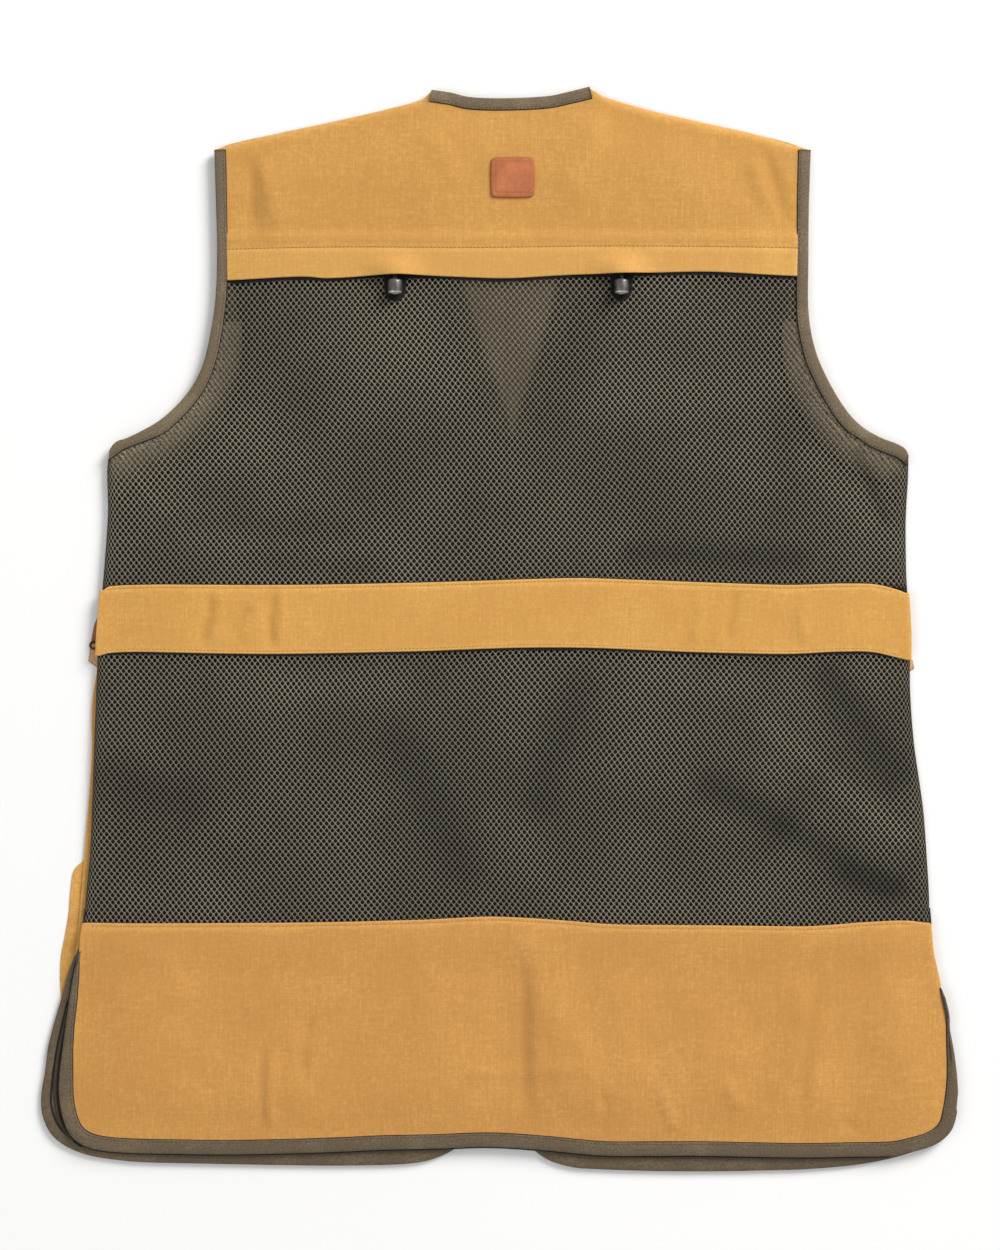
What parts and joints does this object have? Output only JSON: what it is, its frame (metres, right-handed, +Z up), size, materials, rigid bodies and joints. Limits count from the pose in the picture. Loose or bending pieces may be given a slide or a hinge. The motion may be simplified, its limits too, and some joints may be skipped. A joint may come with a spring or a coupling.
{
  "type": "shooting vest",
  "caption": "Sleeveless shooting vest laid flat, back side up: canvas yoke, waist band and hem panel on a net back, bound armholes, neck, hems and side vents.",
  "frame": {"origin": "middle of the vest's box, on the surface that it lies on", "axes": "+X to the right seen from above with the neck away from the viewer, +Y towards the neck, +Z up, out of the back of the garment"},
  "size_m": [0.6966, 0.8239, 0.0191],
  "materials": {
    "mustard_canvas": "waxed cotton canvas, soft sheen",
    "net": "warp-knit polyester net with small diamond holes",
    "olive_binding": "folded cotton twill tape, matt",
    "dark_lining": "plain woven lining, matt",
    "rust_leather": "smooth brown leather with a stitched edge",
    "tan_leather": "tan leather, matt",
    "gunmetal": "dark plated, satin",
    "zip_tape": "woven tape with moulded teeth"
  },
  "bodies": {
    "root": {"back_yoke": "mustard_canvas", "back_net": "net", "waist_band": "mustard_canvas", "back_hem_panel": "mustard_canvas", "leather_patch": "rust_leather", "neck_binding_back": "olive_binding", "armhole_binding_back_left": "olive_binding", "armhole_binding_back_right": "olive_binding", "hem_binding_back": "olive_binding", "cord_end_left": "gunmetal", "cord_end_right": "gunmetal", "front_left": "mustard_canvas", "front_right": "mustard_canvas", "front_lining_left": "dark_lining", "front_lining_right": "dark_lining", "armhole_binding_front_left": "olive_binding", "armhole_binding_front_right": "olive_binding", "hem_binding_front_left": "olive_binding", "hem_binding_front_right": "olive_binding", "neck_binding_front_left": "olive_binding", "neck_binding_front_right": "olive_binding", "zip_tape_left": "zip_tape", "zip_tape_right": "zip_tape", "zip_slider": "gunmetal", "pocket_band_left": "mustard_canvas", "pocket_band_right": "mustard_canvas", "pocket_left": "mustard_canvas", "pocket_right": "mustard_canvas", "waist_tab_left": "tan_leather", "waist_tab_right": "tan_leather", "waist_tab_eyelet": "gunmetal"}
  },
  "joints": []
}
